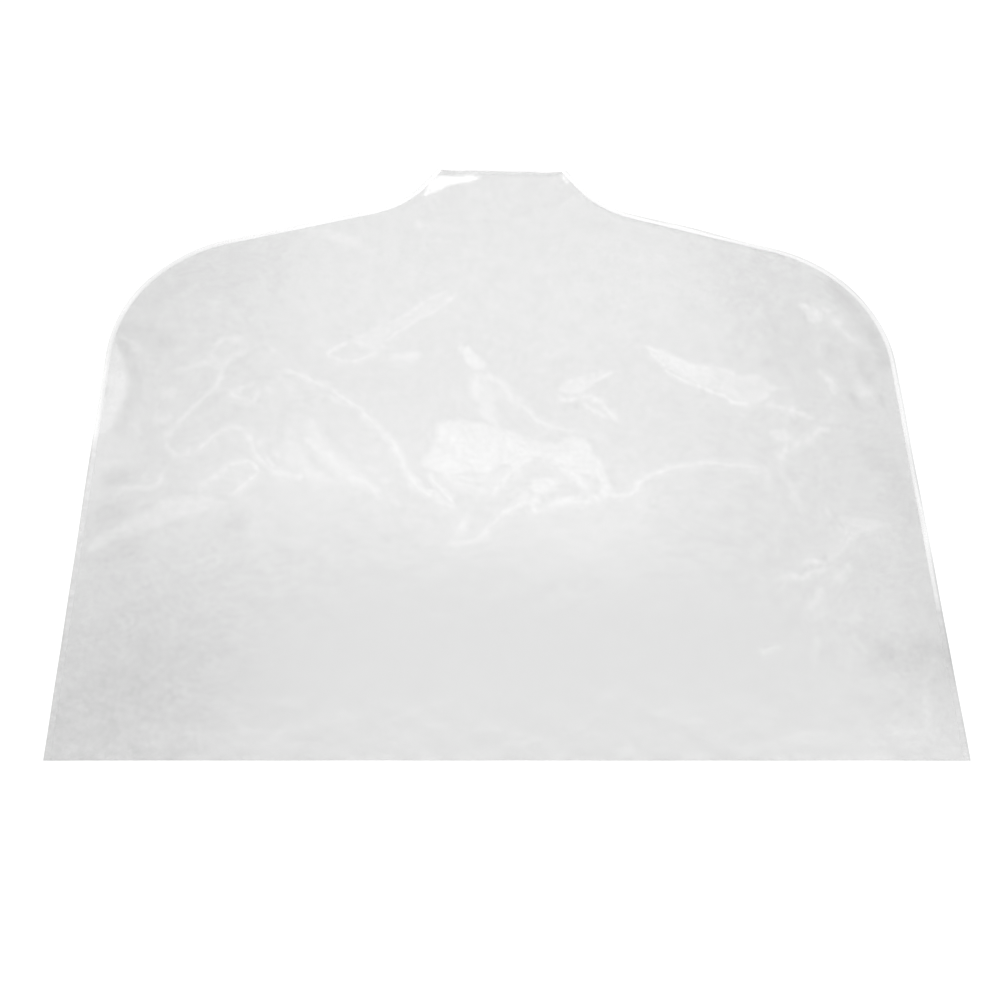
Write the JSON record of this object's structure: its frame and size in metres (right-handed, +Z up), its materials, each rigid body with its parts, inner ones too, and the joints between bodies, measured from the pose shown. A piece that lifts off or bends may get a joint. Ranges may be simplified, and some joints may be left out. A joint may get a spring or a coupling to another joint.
{
  "type": "barber cape",
  "caption": "Clear film barber cape lying flat: two bell-shaped panels sealed along the shoulders and sides, open at the straight neck edge and at the hem.",
  "frame": {"origin": "middle of the face that the cape lies on, half-way between the hem and the neck edge", "axes": "+X across the cape from its left to its right as seen from above with the neck at the top, +Y from the hem to the neck edge, +Z up out of the back panel through the front panel"},
  "size_m": [1.6, 1.355, 0.0061],
  "materials": {
    "film": "clear, slightly milky soft film with a fine emboss; brighter where the two layers cling",
    "seam": "two layers fused by a heat seal, milky white, with a fine cross rib",
    "neck_band": "the same film doubled along the neck edge, a little greyer"
  },
  "bodies": {
    "root": {"back_panel": "film", "front_panel": "film", "back_neck_band": "neck_band", "front_neck_band": "neck_band", "left_shoulder_seam": "seam", "left_side_seam": "seam", "right_shoulder_seam": "seam", "right_side_seam": "seam"}
  },
  "joints": []
}
